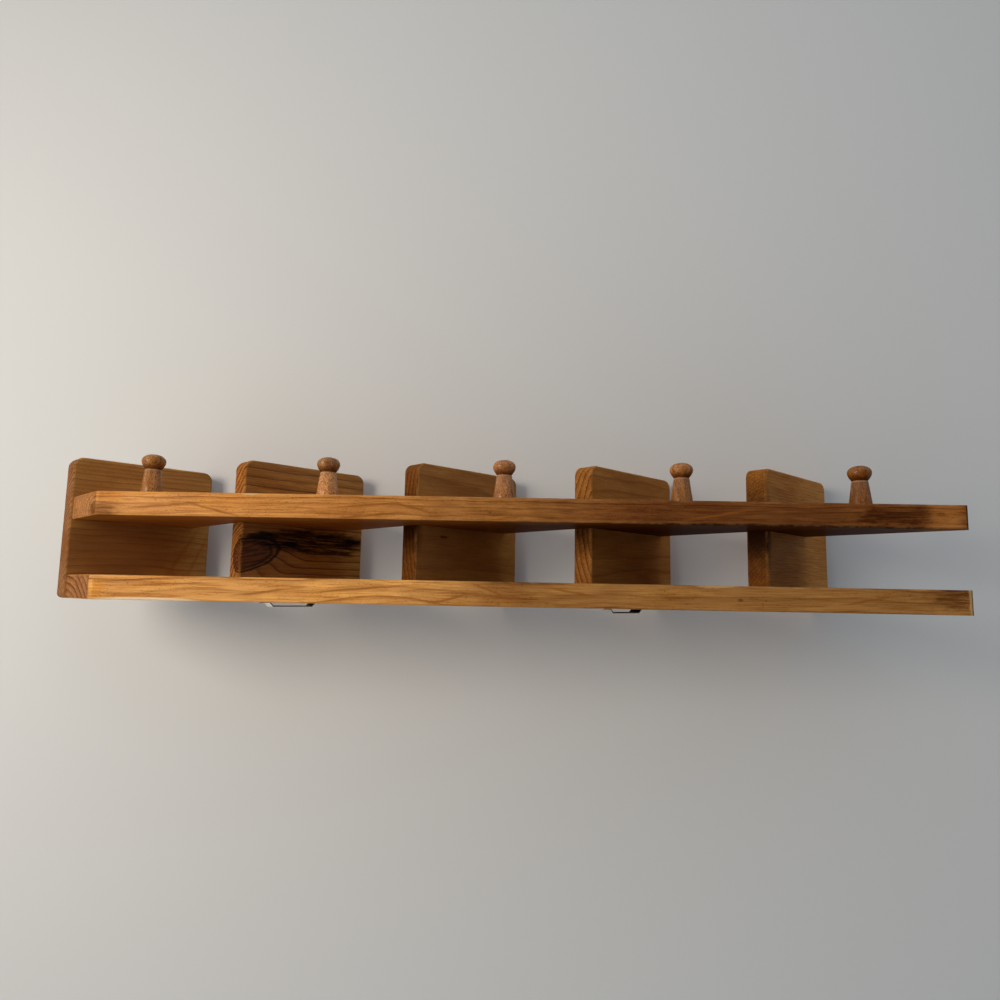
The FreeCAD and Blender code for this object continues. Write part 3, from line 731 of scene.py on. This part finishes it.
def soft_lamp(name, right, up, away, size, power, tint):
    """A square area light, placed from the shelf's middle along the picture's three directions, in metres."""
    data = bpy.data.lights.new(name, "AREA")
    data.shape = "SQUARE"
    data.size = size
    data.energy = power
    data.color = tint
    lamp = bpy.data.objects.new(name, data)
    lamp.location = centre + DOWN_STAIR * right + TO_FRONT * up + OFF_LOWER_EDGE * away
    lamp.rotation_euler = (centre - lamp.location).to_track_quat("-Z", "Y").to_euler()
    bpy.context.scene.collection.objects.link(lamp)


soft_lamp("left_lamp", right=-0.85, up=0.24, away=-0.80, size=0.45, power=5.6, tint=WARM_LAMP)
soft_lamp("left_panel", right=-1.05, up=-0.25, away=-0.85, size=1.5, power=6.0, tint=WARM_PANEL)
soft_lamp("front_panel", right=0.25, up=0.75, away=-1.1, size=0.8, power=1.3, tint=COOL_PANEL)

world = bpy.data.worlds.new("room")
world.use_nodes = True
room = Strand(world.node_tree, world.node_tree.nodes["Background"].outputs["Background"])
seen_direct = room.node("ShaderNodeLightPath", {}, {}, "Is Camera Ray")
backdrop = room.node("ShaderNodeBackground", {}, {"Color": colour(BACKDROP), "Strength": 1.0})
direction = room.node("ShaderNodeTexCoord", {}, {}, "Generated")
to_viewer = direction.towards(-OFF_LOWER_EDGE)
to_right = direction.towards(DOWN_STAIR)
to_front = direction.towards(TO_FRONT)
glow = FAR_GLOW + RIM_GLOW * to_viewer.between(-0.2, 0.15) - VIEWER_SHADE * to_viewer.between(0.25, 0.85)
glow = glow * (1 - RIGHT_SHADE * to_right.between(0.0, 0.9))
glow = glow * (REAR_SHARE + FRONT_GLOW * to_front.between(-0.3, 0.9))
ambient = room.node("ShaderNodeBackground", {}, {"Color": colour(ROOM_TINT), "Strength": glow})
both = room.node("ShaderNodeMixShader", {}, {0: seen_direct, 1: ambient, 2: backdrop})
world.node_tree.links.new(both.socket, world.node_tree.nodes["World Output"].inputs["Surface"])
bpy.context.scene.world = world
bpy.context.scene.view_settings.view_transform = "Standard"

# The camera: close to the shelf's straight lower edges, with the front of the shelf towards the picture's
# top. Its places are in metres, and its focal length is worked out from a picture of 1000 pixels.
EYE = Vector((-0.4368, -0.0090, -0.4962))
AIM = Vector((-0.0079, -0.0874, -0.0554))
ROLL = math.radians(1.06)
SENSOR = 36.0
FOCAL_PIXELS = 744.8
FRAME_PIXELS = 1000
view = bpy.data.cameras.new("camera")
view.sensor_width = SENSOR
view.lens = SENSOR * FOCAL_PIXELS / FRAME_PIXELS
camera = bpy.data.objects.new("camera", view)
look = (AIM - EYE).normalized()
right = look.cross(TO_FRONT).normalized()
upright = right.cross(look)
axes = Matrix((right, upright, -look)).transposed().to_4x4()
camera.matrix_world = Matrix.Translation(EYE) @ axes @ Matrix.Rotation(ROLL, 4, "Z")
bpy.context.scene.collection.objects.link(camera)
bpy.context.scene.camera = camera
